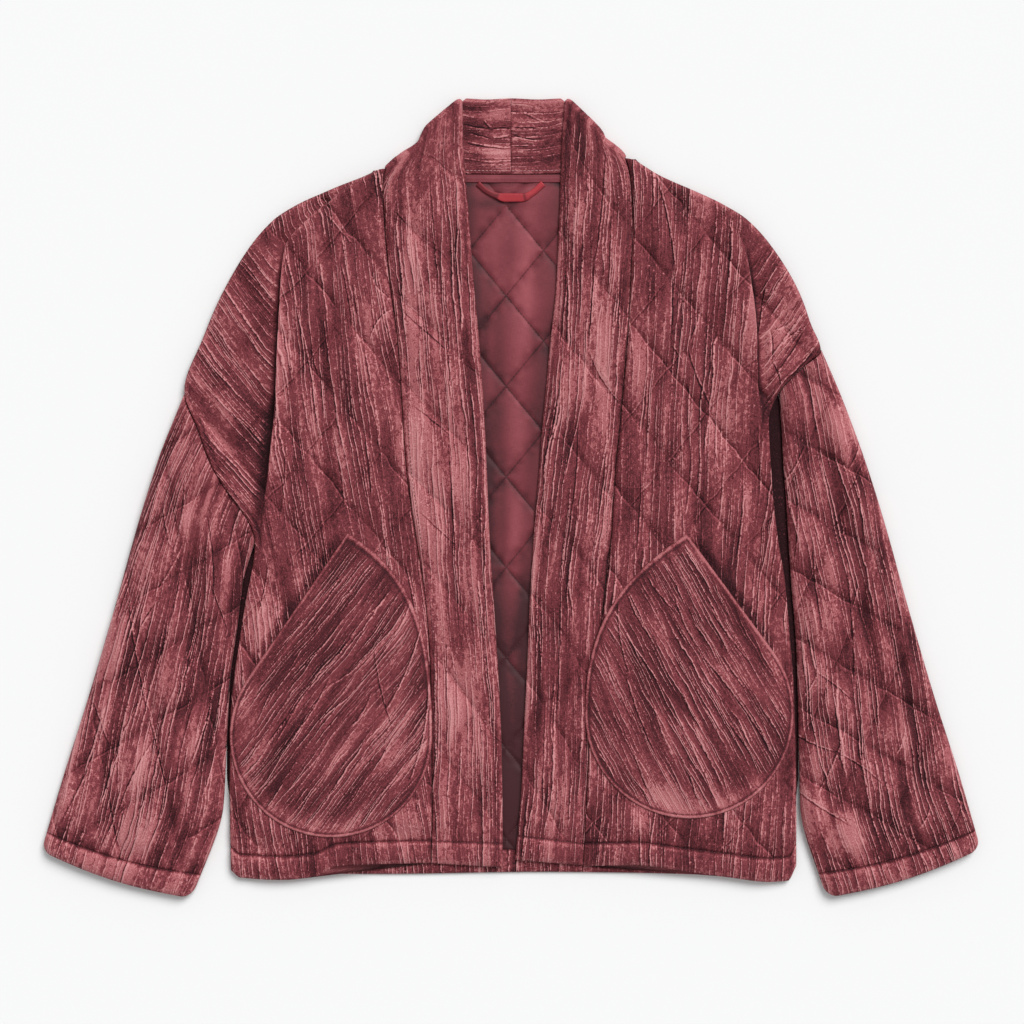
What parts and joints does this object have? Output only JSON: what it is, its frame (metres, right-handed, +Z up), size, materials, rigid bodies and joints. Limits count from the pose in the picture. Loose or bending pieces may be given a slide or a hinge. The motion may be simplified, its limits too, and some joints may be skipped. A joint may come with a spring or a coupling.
{
  "type": "quilted coat",
  "caption": "Short quilted velvet coat with an open front, a band collar, wide sleeves and teardrop patch pockets, laid out flat on its back.",
  "frame": {"origin": "middle of the laid coat's outline, on the surface that it lies on", "axes": "+Z up from that surface, +Y from the hem to the collar, +X towards the wearer's left sleeve"},
  "size_m": [0.892, 0.7597, 0.0226],
  "materials": {
    "velvet": "crushed cotton velvet, quilted",
    "lining": "plain woven cotton lining, quilted",
    "ribbon": "satin ribbon"
  },
  "bodies": {
    "root": {"back": "velvet", "back_lining": "lining", "front_right": "velvet", "front_left": "velvet", "sleeve_right": "velvet", "sleeve_left": "velvet", "band_right": "velvet", "band_left": "velvet", "pocket_right": "velvet", "pocket_left": "velvet", "neck_binding": "lining", "hanger_loop": "ribbon"}
  },
  "joints": []
}
